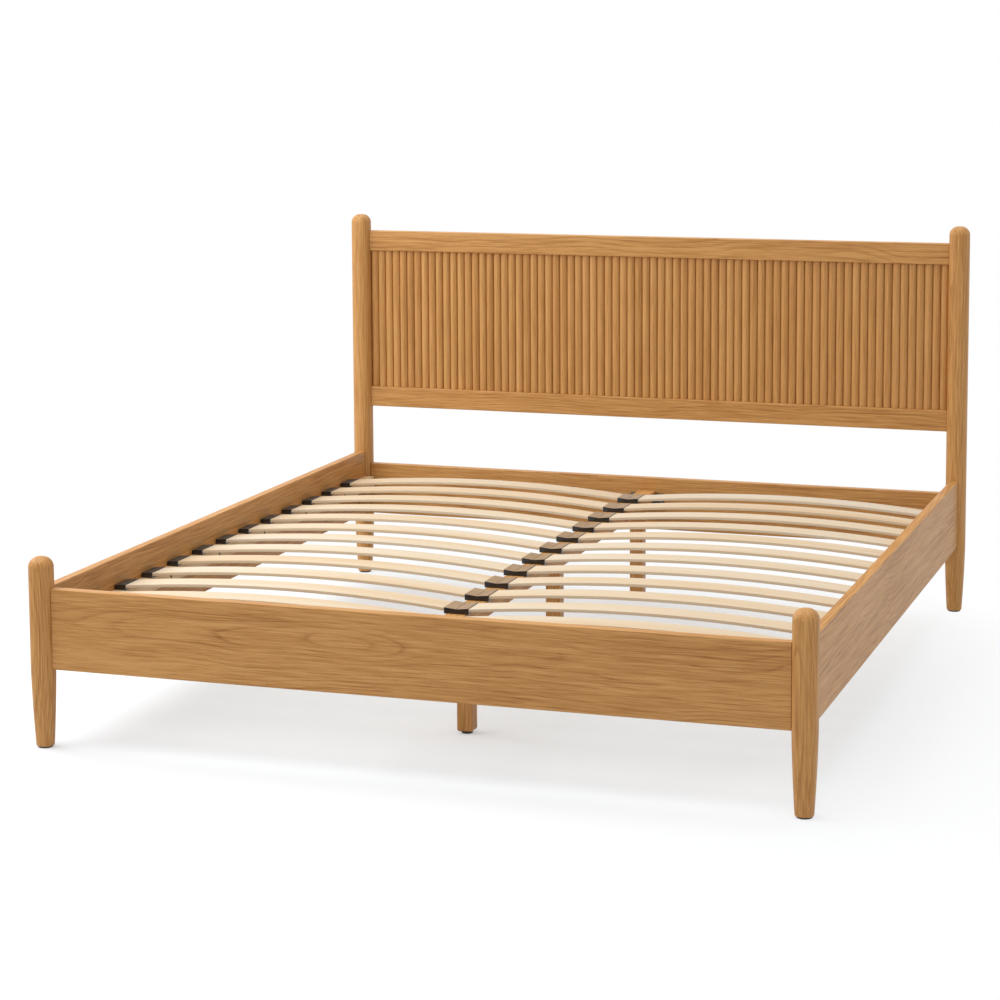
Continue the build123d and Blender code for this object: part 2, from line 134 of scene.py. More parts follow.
def ramp(tree, value, *stops):
    """A colour ramp through the given (place, colour) stops."""
    node = add(tree, "ValToRGB", Fac=value)
    bar = node.color_ramp
    while len(bar.elements) < len(stops):
        bar.elements.new(1.0)
    for element, (place, colour) in zip(bar.elements, stops):
        element.position = place
        element.color = (*colour, 1.0)
    return node.outputs[0]


def new_material(name):
    """An empty material with its shader and output wired together."""
    material = bpy.data.materials.new(name)
    material.use_nodes = True
    tree = material.node_tree
    tree.nodes.clear()
    shader = tree.nodes.new("ShaderNodeBsdfPrincipled")
    output = tree.nodes.new("ShaderNodeOutputMaterial")
    tree.links.new(shader.outputs[0], output.inputs[0])
    return material, tree, shader


print("node helpers ready")

# %% [markdown]
# ## Studio
# A white floor that runs out of sight, a broad soft light from nearly overhead, a large softbox to the left
# that faces the headboard, and even light all round. So tops are brightest, left sides come next and right
# sides last. A real white floor under a bed is quite dark, but the picture was lightened there. So the camera
# sees the floor as part plain white and part lit surface: the shadow stays, only paler, and further out the
# floor runs into plain white. Rays that carry light to the bed see an ordinary pale floor, so nothing is lit
# too much.

# %% Light and floor
def seen_directly(tree):
    """1 for rays that carry a picture of the backdrop: to the lens, in gloss and through glass."""
    path = tree.nodes.new("ShaderNodeLightPath")
    either = maths(tree, "MAXIMUM", path.outputs["Is Camera Ray"], path.outputs["Is Glossy Ray"])
    return maths(tree, "MAXIMUM", either, path.outputs["Is Transmission Ray"])


FILL = 0.585

world = bpy.data.worlds.new("even_light")
scene.world = world
world.use_nodes = True
tree = world.node_tree
sky = tree.nodes["Background"]
wire(tree, sky.inputs["Color"], (1.0, 1.0, 1.0, 1.0))
wire(tree, sky.inputs["Strength"], spread(tree, seen_directly(tree), 0.0, 1.0, FILL, 1.0))


def hang_lamp(lamp, place, towards):
    """Put a lamp in place, facing a point."""
    holder = bpy.data.objects.new(lamp.name, lamp)
    aim = (Vector(place) - Vector(towards)).to_track_quat("Z", "Y")
    holder.matrix_world = Matrix.Translation(place) @ aim.to_matrix().to_4x4()
    scene.collection.objects.link(holder)


window = bpy.data.lights.new("soft_window", "SUN")
window.energy = 1.50
window.angle = math.radians(62.0)
hang_lamp(window, (-1.9, -0.4, 9.4), (0.0, 0.0, 0.0))

softbox = bpy.data.lights.new("softbox", "AREA")
softbox.shape = "RECTANGLE"
softbox.size, softbox.size_y = 3.2, 2.2
softbox.energy = 54.0
hang_lamp(softbox, (-2.4, -0.6, 2.2), (0.2, 1.04, 0.8))

FLOOR_REACH = 40.0
WHITENED = 0.37
SHADOW_MIDDLE = (-0.25, -0.25, 0.0)
SHADOW_ENDS = (1.05, 1.85)

bm = bmesh.new()
bmesh.ops.create_grid(bm, x_segments=1, y_segments=1, size=FLOOR_REACH)
floor_mesh = bpy.data.meshes.new("floor")
bm.to_mesh(floor_mesh)
bm.free()
floor = bpy.data.objects.new("floor", floor_mesh)
scene.collection.objects.link(floor)

floor_paint = bpy.data.materials.new("white_floor")
floor_paint.use_nodes = True
tree = floor_paint.node_tree
tree.nodes.clear()
plain = add(tree, "Emission", Color=(1.0, 1.0, 1.0, 1.0), Strength=1.0)
lit = add(tree, "BsdfDiffuse", Color=(0.85, 0.885, 0.915, 1.0))
pale = add(tree, "BsdfDiffuse", Color=(0.60, 0.60, 0.60, 1.0))
spot = tree.nodes.new("ShaderNodeTexCoord").outputs["Object"]
away = tree.nodes.new("ShaderNodeVectorMath")
away.operation = "DISTANCE"
wire(tree, away.inputs[0], spot)
wire(tree, away.inputs[1], SHADOW_MIDDLE)
picture = tree.nodes.new("ShaderNodeMixShader")
wire(tree, picture.inputs[0], spread(tree, away.outputs["Value"], *SHADOW_ENDS, WHITENED, 1.0))
wire(tree, picture.inputs[1], lit.outputs[0])
wire(tree, picture.inputs[2], plain.outputs[0])
choice = tree.nodes.new("ShaderNodeMixShader")
wire(tree, choice.inputs[0], seen_directly(tree))
wire(tree, choice.inputs[1], pale.outputs[0])
wire(tree, choice.inputs[2], picture.outputs[0])
surface = tree.nodes.new("ShaderNodeOutputMaterial")
wire(tree, surface.inputs[0], choice.outputs[0])
floor_mesh.materials.append(floor_paint)
print("floor", 2 * FLOOR_REACH, "m across,", len(bpy.data.lights), "lamps")

# %% [markdown]
# ## What grain is
# A board is a slice through a tree. Its figure is where the slice cuts the yearly rings, which are long nested
# cones that wander a little. So each vertex keeps where it lay in its tree: how far along the trunk, how far
# across and how far out from the heart. One node group turns that place into rings, streaks, fibres and pores.
# Arches then appear on wide faces, straight lines on narrow ones and rings on ends, all joined at the edges.

# %% The wood figure group
def tree_ring_luck(group, year):
    """A strength for each year's ring: some summers leave a dark line, others hardly any."""
    dice = group.nodes.new("ShaderNodeTexWhiteNoise")
    dice.noise_dimensions = "1D"
    wire(group, dice.inputs["W"], year)
    return spread(group, dice.outputs["Value"], 0.0, 1.0, 0.30, 1.0)


def make_wood_figure():
    """The shared group: a place in the tree goes in, six parts of the figure come out."""
    group = bpy.data.node_groups.new("wood_figure", "ShaderNodeTree")
    group.interface.new_socket("Grain", in_out="INPUT", socket_type="NodeSocketVector")
    ring = group.interface.new_socket("Ring Width", in_out="INPUT", socket_type="NodeSocketFloat")
    ring.default_value = 0.008
    wander = group.interface.new_socket("Wander", in_out="INPUT", socket_type="NodeSocketFloat")
    wander.default_value = 0.03
    for name in ("Rings", "Streaks", "Fibres", "Dashes", "Clouds", "Pores"):
        group.interface.new_socket(name, in_out="OUTPUT", socket_type="NodeSocketFloat")
    given = group.nodes.new("NodeGroupInput")
    made = group.nodes.new("NodeGroupOutput")
    grain = given.outputs["Grain"]
    parts = add(group, "SeparateXYZ", Vector=grain)

    sway = drawn_noise(group, grain, (1.6, 2.5, 2.5), 2.0)[1]
    sway = add(group, "SeparateColor", Color=sway)
    ripple = drawn_noise(group, grain, (4.0, 70.0, 70.0), 3.0)[0]
    place = []
    for flat, push in ((parts.outputs["Y"], sway.outputs["Red"]), (parts.outputs["Z"], sway.outputs["Green"])):
        shift = maths(group, "MULTIPLY", maths(group, "SUBTRACT", push, 0.5), given.outputs["Wander"])
        place.append(maths(group, "MULTIPLY_ADD", shift, 4.0, flat))
    squares = [maths(group, "MULTIPLY", p, p) for p in place]
    radius = maths(group, "SQRT", maths(group, "ADD", *squares))
    year = maths(group, "DIVIDE", radius, given.outputs["Ring Width"])
    year = maths(group, "MULTIPLY_ADD", maths(group, "SUBTRACT", ripple, 0.5), 0.6, year)
    season = maths(group, "FRACT", year)
    band = ramp(group, season, (0.0, (0.40,) * 3), (0.07, (1.0,) * 3), (0.22, (0.35,) * 3),
                (0.55, (0.05,) * 3), (0.92, (0.08,) * 3), (1.0, (0.40,) * 3))
    lucky = tree_ring_luck(group, maths(group, "FLOOR", year))
    fade = spread(group, drawn_noise(group, grain, (2.4, 16.0, 16.0), 2.0)[0], 0.36, 0.62, 0.35, 1.0)
    rings = maths(group, "MULTIPLY", maths(group, "MULTIPLY", band, lucky), fade)

    streaks = drawn_noise(group, grain, (2.2, 55.0, 55.0), 5.0, 0.66)[0]
    fibres = drawn_noise(group, grain, (9.0, 330.0, 330.0), 2.0, 0.65)[0]
    dashes = spread(group, drawn_noise(group, grain, (10.0, 150.0, 150.0), 3.0, 0.6)[0], 0.57, 0.74)
    clouds = drawn_noise(group, grain, (0.9, 14.0, 14.0), 2.0)[0]
    specks = drawn_noise(group, grain, (70.0, 1500.0, 1500.0), 1.0)[0]
    pores = spread(group, specks, 0.56, 0.70)
    pores = maths(group, "MULTIPLY", pores, maths(group, "MULTIPLY_ADD", band, 0.75, 0.25))
    for name, value in zip(made.inputs.keys(), (rings, streaks, fibres, dashes, clouds, pores)):
        wire(group, made.inputs[name], value)
    return group


wood_figure = make_wood_figure()
print("wood figure:", len(wood_figure.nodes), "nodes")

# %% [markdown]
# ## Oak
# The frame is oak under a satin lacquer the colour of honey. Spring wood is porous and dark, summer wood pale.
# The group gives the figure; a ramp from straw to brown colours it, the pores darken it, and the same pores
# press small dents into the lacquer. Each board also carries a tone, because no two boards match. The narrow
# reeds are cut from calm, straight-grained stock, so a second oak shows less of the rings.

# %% Oak finish
def place_figure(tree, ring_width, wander):
    """Put the wood figure group in a material, fed by the grain that a piece carries."""
    grain = tree.nodes.new("ShaderNodeAttribute")
    grain.attribute_name = "grain"
    figure = tree.nodes.new("ShaderNodeGroup")
    figure.node_tree = wood_figure
    wire(tree, figure.inputs["Grain"], grain.outputs["Vector"])
    wire(tree, figure.inputs["Ring Width"], ring_width)
    wire(tree, figure.inputs["Wander"], wander)
    tone = tree.nodes.new("ShaderNodeAttribute")
    tone.attribute_name = "tone"
    return grain.outputs["Vector"], figure.outputs, tone.outputs["Fac"]


def depth_of_colour(tree, figure, tone, start, shares):
    """Add the figure and the tone of a board into one number, pale to dark."""
    depth = maths(tree, "MULTIPLY_ADD", tone, shares["tone"], start)
    for name in ("Rings", "Dashes"):
        depth = maths(tree, "MULTIPLY_ADD", figure[name], shares[name.lower()], depth)
    for name in ("Streaks", "Fibres", "Clouds"):
        middle = maths(tree, "SUBTRACT", figure[name], 0.5)
        depth = maths(tree, "MULTIPLY_ADD", middle, shares[name.lower()], depth)
    return depth


def press_in(tree, shader, height, depth):
    """Dent the surface where height is low, by a real depth in metres."""
    bump = add(tree, "Bump", Height=height, Strength=1.0, Distance=depth)
    wire(tree, shader.inputs["Normal"], bump.outputs[0])


def oak_finish(name, start, shares):
    """Lacquered oak, with how much each part of the figure shows."""
    material, tree, shader = new_material(name)
    grain, figure, tone = place_figure(tree, ring_width=0.0085, wander=0.022)
    depth = depth_of_colour(tree, figure, tone, start, shares)
    colour = ramp(tree, depth, (0.0, (0.642, 0.337, 0.113)), (0.36, (0.534, 0.258, 0.074)),
                  (0.72, (0.406, 0.174, 0.043)), (1.0, (0.277, 0.106, 0.025)))
    pore_shade = maths(tree, "MULTIPLY", figure["Pores"], 0.40)
    wire(tree, shader.inputs["Base Color"], mix_colours(tree, pore_shade, colour, (0.17, 0.07, 0.022, 1.0)))
    wire(tree, shader.inputs["Roughness"], maths(tree, "MULTIPLY_ADD", figure["Streaks"], 0.16, 0.38))
    wire(tree, shader.inputs["Specular IOR Level"], 0.34)
    press_in(tree, shader, maths(tree, "SUBTRACT", figure["Streaks"], figure["Pores"]), depth=0.00006)
    return material


oak = oak_finish("honey_oak", 0.25, {
    "tone": 0.05, "rings": 0.58, "dashes": 0.14, "streaks": 0.85, "fibres": 1.7, "clouds": 0.5})
calm_oak = oak_finish("calm_oak", 0.25, {
    "tone": 0.07, "rings": 0.16, "dashes": 0.10, "streaks": 0.8, "fibres": 1.3, "clouds": 0.4})
print("oak:", oak.name, "and", calm_oak.name)

# %% [markdown]
# ## Birch, pine and beech
# The slats are pale birch plywood: the top is one calm veneer with peach and grey patches, and the edge shows
# the stacked plies, every second one with its end grain out. The ledgers are plain planed pine and the dowels
# are beech. The first two use the same figure group with other values.

# %% Pale woods
SLAT_THICK = 0.008
PLIES = 7
PLY = SLAT_THICK / PLIES
END_GRAIN = (0.79, 0.61, 0.41, 1.0)

birch, tree, shader = new_material("birch_plywood")
grain, figure, tone = place_figure(tree, ring_width=0.011, wander=0.05)
shares = {"tone": 0.16, "rings": 0.10, "dashes": 0.08, "streaks": 0.9, "fibres": 0.7, "clouds": 1.5}
depth = depth_of_colour(tree, figure, tone, 0.40, shares)
veneer = ramp(tree, depth, (0.0, (0.70, 0.612, 0.480)), (0.5, (0.685, 0.543, 0.367)),
              (1.0, (0.635, 0.445, 0.253)))
through = add(tree, "SeparateXYZ", Vector=grain).outputs["Z"]
layer = maths(tree, "ABSOLUTE", maths(tree, "DIVIDE", maths(tree, "SUBTRACT", through, 1.0), 2 * PLY))
turned = spread(tree, maths(tree, "PINGPONG", maths(tree, "ADD", layer, 0.25), 0.5), 0.20, 0.30)
turned = maths(tree, "MULTIPLY", turned, 0.7)
wire(tree, shader.inputs["Base Color"], mix_colours(tree, turned, veneer, END_GRAIN))
wire(tree, shader.inputs["Roughness"], maths(tree, "MULTIPLY_ADD", figure["Streaks"], 0.2, 0.42))
press_in(tree, shader, figure["Streaks"], depth=0.00008)

batten, tree, shader = new_material("planed_batten")
grain, figure, tone = place_figure(tree, ring_width=0.006, wander=0.02)
shares = {"tone": 0.08, "rings": 0.30, "dashes": 0.08, "streaks": 0.7, "fibres": 0.5, "clouds": 0.4}
depth = depth_of_colour(tree, figure, tone, 0.25, shares)
colour = ramp(tree, depth, (0.0, (0.80, 0.60, 0.36)), (0.5, (0.70, 0.475, 0.25)), (1.0, (0.53, 0.31, 0.135)))
wire(tree, shader.inputs["Base Color"], colour)
wire(tree, shader.inputs["Roughness"], maths(tree, "MULTIPLY_ADD", figure["Streaks"], 0.2, 0.48))
press_in(tree, shader, figure["Streaks"], depth=0.0001)

beech, tree, shader = new_material("beech_dowel")
place = tree.nodes.new("ShaderNodeTexCoord").outputs["Object"]
fleck = drawn_noise(tree, place, (160.0, 160.0, 160.0), 3.0)[0]
colour = ramp(tree, fleck, (0.3, (0.72, 0.52, 0.31)), (0.7, (0.58, 0.39, 0.22)))
wire(tree, shader.inputs["Base Color"], colour)
wire(tree, shader.inputs["Roughness"], maths(tree, "MULTIPLY_ADD", fleck, 0.2, 0.5))
print("pale woods: birch, batten, beech")

# %% [markdown]
# ## Plastic and steel
# The holders are moulded black plastic with a fine spark-eroded texture that keeps a soft gloss. Every cap's
# upward faces are mixed toward a top colour. On the double ones in the middle it is tan: partly the dust of
# the slats that rub in them, partly a painted sheen for the overhead light on their tops. The bolts and
# hangers are black-oxide steel: nearly black, cloudy and uneven in gloss. These patterns don't follow a grain,
# so they read the plain object position.

# %% Plastic and steel finishes
def moulded_black(name, top_dust_and_sheen):
    """Black plastic whose upward faces are mixed toward a top colour: dust plus a painted sheen."""
    material, tree, shader = new_material(name)
    place = tree.nodes.new("ShaderNodeTexCoord").outputs["Object"]
    speckle = drawn_noise(tree, place, (1400.0, 1400.0, 1400.0), 2.0)[0]
    smear = drawn_noise(tree, place, (60.0, 60.0, 60.0), 2.0)[0]
    black = ramp(tree, smear, (0.3, (0.012, 0.011, 0.011)), (0.7, (0.024, 0.022, 0.020)))
    normal = tree.nodes.new("ShaderNodeNewGeometry").outputs["Normal"]
    upward = add(tree, "SeparateXYZ", Vector=normal).outputs["Z"]
    # painted sheen and dust: faces that look up are mixed toward the top colour
    dust_and_sheen = maths(tree, "MULTIPLY", spread(tree, upward, 0.6, 0.98), spread(tree, smear, 0.25, 0.75, 0.70, 1.0))
    wire(tree, shader.inputs["Base Color"], mix_colours(tree, dust_and_sheen, black, (*top_dust_and_sheen, 1.0)))
    wire(tree, shader.inputs["Roughness"], maths(tree, "MULTIPLY_ADD", dust_and_sheen, 0.30, 0.24))
    press_in(tree, shader, speckle, depth=0.00004)
    return material


plastic = moulded_black("moulded_black", (0.040, 0.035, 0.030))
# tan tops for the middle caps: slat dust and a painted sheen for the overhead light
dusty_sheen_plastic = moulded_black("dust_and_sheen_black", (0.38, 0.25, 0.135))

steel, tree, shader = new_material("black_oxide")
place = tree.nodes.new("ShaderNodeTexCoord").outputs["Object"]
spangle = drawn_noise(tree, place, (220.0, 220.0, 220.0), 3.0)[0]
wire(tree, shader.inputs["Metallic"], 1.0)
colour = ramp(tree, spangle, (0.3, (0.12, 0.117, 0.113)), (0.7, (0.20, 0.195, 0.19)))
wire(tree, shader.inputs["Base Color"], colour)
wire(tree, shader.inputs["Roughness"], maths(tree, "MULTIPLY_ADD", spangle, 0.3, 0.22))
print("plastic and steel ready")

# %% [markdown]
# ## Bench tools
# Every board starts as a cube stretched over its solid's box, and is then worked with the tools a joiner would
# name: ease an edge, sink a pocket, note the grain. A weighted-normal modifier keeps broad faces flat beside
# their rounded edges. The piece takes the place of its solid and rides with the same body.

# %% Bench tools
X, Y, Z = Vector((1, 0, 0)), Vector((0, 1, 0)), Vector((0, 0, 1))
HAIR = 1e-5
SHARP = math.radians(38)
HEART_AWAY = 0.3
luck = random.Random(7)


def new_stock():
    """An empty bmesh with room on each vertex for its grain and tone."""
    bm = bmesh.new()
    bm.verts.layers.float_vector.new("grain")
    bm.verts.layers.float.new("tone")
    return bm


def blank(low, high):
    """A cube stretched to fill the box between two corners."""
    bm = new_stock()
    bmesh.ops.create_cube(bm, size=1.0)
    bmesh.ops.scale(bm, vec=high - low, verts=bm.verts)
    bmesh.ops.translate(bm, vec=(low + high) / 2, verts=bm.verts)
    return bm


def edges_along(bm, axis):
    """The edges that run along an axis."""
    return [e for e in bm.edges if abs((e.verts[1].co - e.verts[0].co).normalized().dot(axis)) > 0.999]


def rim(bm, axis, place):
    """The edges that lie whole at one place along an axis."""
    return [e for e in bm.edges if all(abs(v.co.dot(axis) - place) < HAIR for v in e.verts)]


def ease(bm, edges, width, steps):
    """Round a set of edges over."""
    bmesh.ops.bevel(bm, geom=edges, offset=width, affect="EDGES", segments=steps, profile=0.5, material=-1)


def slice_at(bm, axis, places):
    """Score the mesh all round at places along an axis."""
    for place in places:
        geom = [*bm.verts, *bm.edges, *bm.faces]
        bmesh.ops.bisect_plane(bm, geom=geom, dist=HAIR / 10, plane_co=axis * place, plane_no=axis)


def sink(bm, outward, low, high, depth):
    """Push the faces that look outward, inside a box, into the piece by a depth."""
    faces = [f for f in bm.faces if f.normal.dot(outward) > 0.999
             and all(low[i] - HAIR < c < high[i] + HAIR for i, c in enumerate(f.calc_center_median()))]
    sunk = bmesh.ops.extrude_discrete_faces(bm, faces=faces)["faces"]
    bmesh.ops.translate(bm, vec=-outward * depth, verts=list({v for f in sunk for v in f.verts}))
    return sunk


def note_grain(bm, place, heart=None, verts=None):
    """Keep on each vertex where it lay in its tree; place turns a point into (along, across, through)."""
    grain = bm.verts.layers.float_vector["grain"]
    tone = bm.verts.layers.float["tone"]
    lie = math.radians(luck.uniform(30, 60))
    start = Vector((luck.uniform(0, 40), HEART_AWAY * math.sin(lie), HEART_AWAY * math.cos(lie)))
    if heart:
        start = Vector(heart)
    shade = luck.uniform(-1, 1)
    for v in verts or bm.verts:
        v[grain] = place(v.co) + start
        v[tone] = shade


def straight(low, high, along, across):
    """How a straight board lay in its tree, measured from its middle."""
    middle = (low + high) / 2
    through = along.cross(across)
    return lambda p: Vector([(p - middle).dot(axis) for axis in (along, across, through)])


def hand_over(bm, name, material, slot, *nodes, body="frame"):
    """Turn a bmesh into a finished piece that stands for its solids."""
    bmesh.ops.recalc_face_normals(bm, faces=bm.faces)
    mesh = bpy.data.meshes.new(name)
    bm.to_mesh(mesh)
    bm.free()
    mesh.materials.append(material)
    mesh.shade_smooth()
    mesh.set_sharp_from_angle(angle=SHARP)
    piece = bpy.data.objects.new(name, mesh)
    scene.collection.objects.link(piece)
    piece.modifiers.new("flat_faces", "WEIGHTED_NORMAL").keep_sharp = True
    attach(piece, body)
    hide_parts(*nodes)
    return piece


print("bench tools ready")

# %% [markdown]
# ## Posts
# Each post is a rounded square with a domed top, and below the rails it tapers in a slight swell to its foot.
# It could be lofted through outlines, but a bevelled cube already has the right corners: the uprights are
# bevelled first, then the top rim, and the lower part is scored into levels that are each drawn in.

# %% Shape the posts
POST_CORNER = 0.026
POST_DOME = 0.025
POST_WIDTH, FOOT_WIDTH, SWELL = 0.058, 0.042, 0.002
FOOT_SHARE = FOOT_WIDTH / POST_WIDTH
SWELL_SHARE = SWELL / POST_WIDTH
FOOT_EASE = 0.0025
TAPER_LEVELS = 10


def taper_share(height):
    """Share of a post's full width at a height that runs from 0 at the floor end to 1 at the rails."""
    return FOOT_SHARE + (1 - FOOT_SHARE) * height + 4 * SWELL_SHARE * height * (1 - height)


def shape_post(node, rails_from):
    """One post, tapered below the height where the rails start."""
    low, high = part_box(node)
    axis = (low + high) / 2
    bm = blank(low, high)
    ease(bm, edges_along(bm, Z), POST_CORNER, steps=10)
    ease(bm, rim(bm, Z, high.z), POST_DOME, steps=9)
    ease(bm, rim(bm, Z, low.z), FOOT_EASE, steps=3)
    tall = rails_from - low.z
    slice_at(bm, Z, [low.z + tall * step / TAPER_LEVELS for step in range(1, TAPER_LEVELS + 1)])
    for level in sorted({round(v.co.z, 6) for v in bm.verts if v.co.z < rails_from - HAIR}):
        share = taper_share((level - low.z) / tall)
        verts = [v for v in bm.verts if abs(v.co.z - level) < HAIR / 2]
        bmesh.ops.scale(bm, vec=(share, share, 1.0), space=Matrix.Translation(-axis), verts=verts)
    note_grain(bm, straight(low, high, Z, X))
    return hand_over(bm, node + "_oak", oak, "oak", node)


rails_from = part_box("foot_rail")[0].z
for end in ("foot", "head"):
    for side in ("left", "right"):
        post = shape_post(f"{end}_post_{side}", rails_from)
        print(post.name, len(post.data.polygons), "faces")

# %% [markdown]
# ## Rails
# The rails are planks with their long edges rounded 3 mm and only a hair taken off the ends, which leaves the
# fine dark line where a rail meets its post. The side rails also have pockets on the inside, where the bolts
# that pull the joint tight are turned. The foot rail is the widest view of the grain, so its heart is given,
# a little above the middle, where the arches show.

# %% Shape the rails
RAIL_EDGE = 0.003
END_EASE = 0.0007
FOOT_RAIL_HEART = (3.0, -0.02, 0.05)


def shape_plank(node, along, edge=RAIL_EDGE, end=END_EASE):
    """A board with its long edges rounded and its ends barely eased: returns the bmesh and its box."""
    low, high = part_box(node)
    bm = blank(low, high)
    ease(bm, edges_along(bm, along), edge, steps=4)
    for place in (low.dot(along), high.dot(along)):
        ease(bm, rim(bm, along, place), end, steps=2)
    return bm, low, high


def lay_plank(node, along, across, material=oak, slot="oak", heart=None, **eases):
    """A plank with nothing cut into it, from blank to finished piece."""
    bm, low, high = shape_plank(node, along, **eases)
    note_grain(bm, straight(low, high, along, across), heart)
    return hand_over(bm, f"{node}_{slot}", material, slot, node)


foot_rail = lay_plank("foot_rail", X, Z, heart=FOOT_RAIL_HEART)
head_rail = lay_plank("head_rail", X, Z)
print(foot_rail.name, "and", head_rail.name, "are plain planks")

POCKET_REACH = (0.939, 0.965)
POCKET_LEVELS = ((0.207, 0.235), (0.241, 0.269))
POCKET_DEPTH = 0.021

for side, inward in (("left", X), ("right", -X)):
    node = f"side_rail_{side}"
    bm, low, high = shape_plank(node, Y)
    slice_at(bm, Y, [sign * reach for sign in (-1, 1) for reach in POCKET_REACH])
    slice_at(bm, Z, [level for pair in POCKET_LEVELS for level in pair])
    for sign in (-1, 1):
        near, far = sorted(sign * reach for reach in POCKET_REACH)
        for bottom, top in POCKET_LEVELS:
            sink(bm, inward, (low.x, near, bottom), (high.x, far, top), POCKET_DEPTH)
    note_grain(bm, straight(low, high, Y, Z))
    rail = hand_over(bm, node + "_oak", oak, "oak", node)
    print(rail.name, len(rail.data.polygons), "faces, 4 bolt pockets")

# %% [markdown]
# ## Headboard
# Two rails hold a thin panel in grooves, and reeds with crowned fronts are glued side by side on it. A reed is
# drawn as one point spun into an arc, with its two ends pulled back into straight sides, closed to a face and
# pulled up. The strip is then laid 76 times, and every copy gets its own grain and tone, because that slight
# unevenness is what the eye sees. The straight sides leave the narrow dark lines between the reeds.

# %% Shape the headboard
GROOVE = (1.0433, 1.0497)
GROOVE_DEPTH = 0.009
PANEL_EASE = 0.0006

for node, facing_panel in (("headboard_top_rail", -Z), ("headboard_bottom_rail", Z)):
    bm, low, high = shape_plank(node, X)
    slice_at(bm, Y, GROOVE)
    sink(bm, facing_panel, (low.x, GROOVE[0], low.z), (high.x, GROOVE[1], high.z), GROOVE_DEPTH)
    note_grain(bm, straight(low, high, X, Z))
    hand_over(bm, node + "_oak", oak, "oak", node)

panel = lay_plank("headboard_back_panel", Z, X, edge=PANEL_EASE, end=PANEL_EASE)
print(panel.name, "in its grooves")

REEDS = 76
REED_STEPS = 12
REED_SIDE = 0.004
low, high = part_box("headboard_reeds")
reed_pitch = 2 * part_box("headboard_top_rail")[1].x / REEDS
reed_half = (high.x - low.x - reed_pitch * (REEDS - 1)) / 2
crown = high.y - low.y - REED_SIDE
reed_radius = (reed_half ** 2 + crown ** 2) / (2 * crown)
sweep = 2 * math.asin(min(1.0, reed_half / reed_radius))


def verts_of(geom):
    """The vertices among some geometry."""
    return [g for g in geom if isinstance(g, bmesh.types.BMVert)]


bm = new_stock()
first = low.x + reed_half
centre = Vector((first, low.y + reed_radius, low.z))
point = bmesh.ops.create_vert(bm, co=(first - reed_half, high.y - REED_SIDE, low.z))["vert"]
bmesh.ops.spin(bm, geom=point, cent=centre, axis=Z, angle=sweep, steps=REED_STEPS)
shoulders = [v for v in bm.verts if len(v.link_edges) == 1]
sides = bmesh.ops.extrude_vert_indiv(bm, verts=shoulders)["verts"]
bmesh.ops.translate(bm, vec=Y * REED_SIDE, verts=sides)
bmesh.ops.contextual_create(bm, geom=bm.edges)
pulled = bmesh.ops.extrude_face_region(bm, geom=list(bm.faces))["geom"]
bmesh.ops.translate(bm, vec=Z * (high.z - low.z), verts=verts_of(pulled))
strip = [*bm.verts, *bm.edges, *bm.faces]
strips = [strip]
for index in range(1, REEDS):
    copy = bmesh.ops.duplicate(bm, geom=strip)["geom"]
    bmesh.ops.translate(bm, vec=X * reed_pitch * index, verts=verts_of(copy))
    strips.append(copy)
for index, part in enumerate(strips):
    middle = Vector((first + reed_pitch * index, high.y, (low.z + high.z) / 2))
    note_grain(bm, straight(middle, middle, Z, X), verts=verts_of(part))
reeds = hand_over(bm, "headboard_reeds_oak", calm_oak, "oak", "headboard_reeds")
print(REEDS, "reeds,", len(reeds.data.polygons), "faces, pitch", round(reed_pitch * 1000, 2), "mm")

# %% [markdown]
# ## Battens under the slats
# A ledger on each side rail and one beam down the middle carry the slat holders. They are plain planed stock
# with only the sharp edge taken off. The three legs under the beam have a chamfer at the foot so that they
# don't splinter when the bed is dragged.

# %% Shape the ledgers, the beam and its legs
PLANED = 0.0012

for side in ("left", "right"):
    lay_plank(f"slat_ledger_{side}", Y, X, batten, "batten_wood", edge=PLANED, end=PLANED)
beam = lay_plank("centre_beam", Y, X, edge=PLANED, end=PLANED)
print(beam.name, "between two ledgers")

LEG_EDGE = 0.002
LEG_CHAMFER = 0.004

for place in ("front", "middle", "rear"):
    node = f"centre_leg_{place}"
    low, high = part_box(node)
    bm = blank(low, high)
    ease(bm, edges_along(bm, Z), LEG_EDGE, steps=3)
    ease(bm, rim(bm, Z, low.z), LEG_CHAMFER, steps=1)
    note_grain(bm, straight(low, high, Z, X))
    hand_over(bm, node + "_oak", oak, "oak", node)
print("three legs under the beam")

# %% [markdown]
# ## Bowed slats
# A slat is a strip of plywood pressed over a mould, so its section is the same all along an arc. That is what
# spin does: a small rounded rectangle is swept about a far centre. The centre follows from the length of the
# strip and its rise. Grain is noted along the arc, so the plies follow the bow.

# %% Bend the slats
SLAT_STEPS = 20
SLAT_EDGE = 0.0015
ROWS = sum(name.startswith("slat_left_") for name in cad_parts)


def slat_arc(node):
    """The arc of a slat's underside: its middle across the bed, the height of its centre and its radius."""
    low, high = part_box(node)
    half = (high.x - low.x) / 2
    rise = high.z - low.z - SLAT_THICK
    inner = (half ** 2 + rise ** 2) / (2 * rise)
    return (low.x + high.x) / 2, high.z - SLAT_THICK - inner, inner


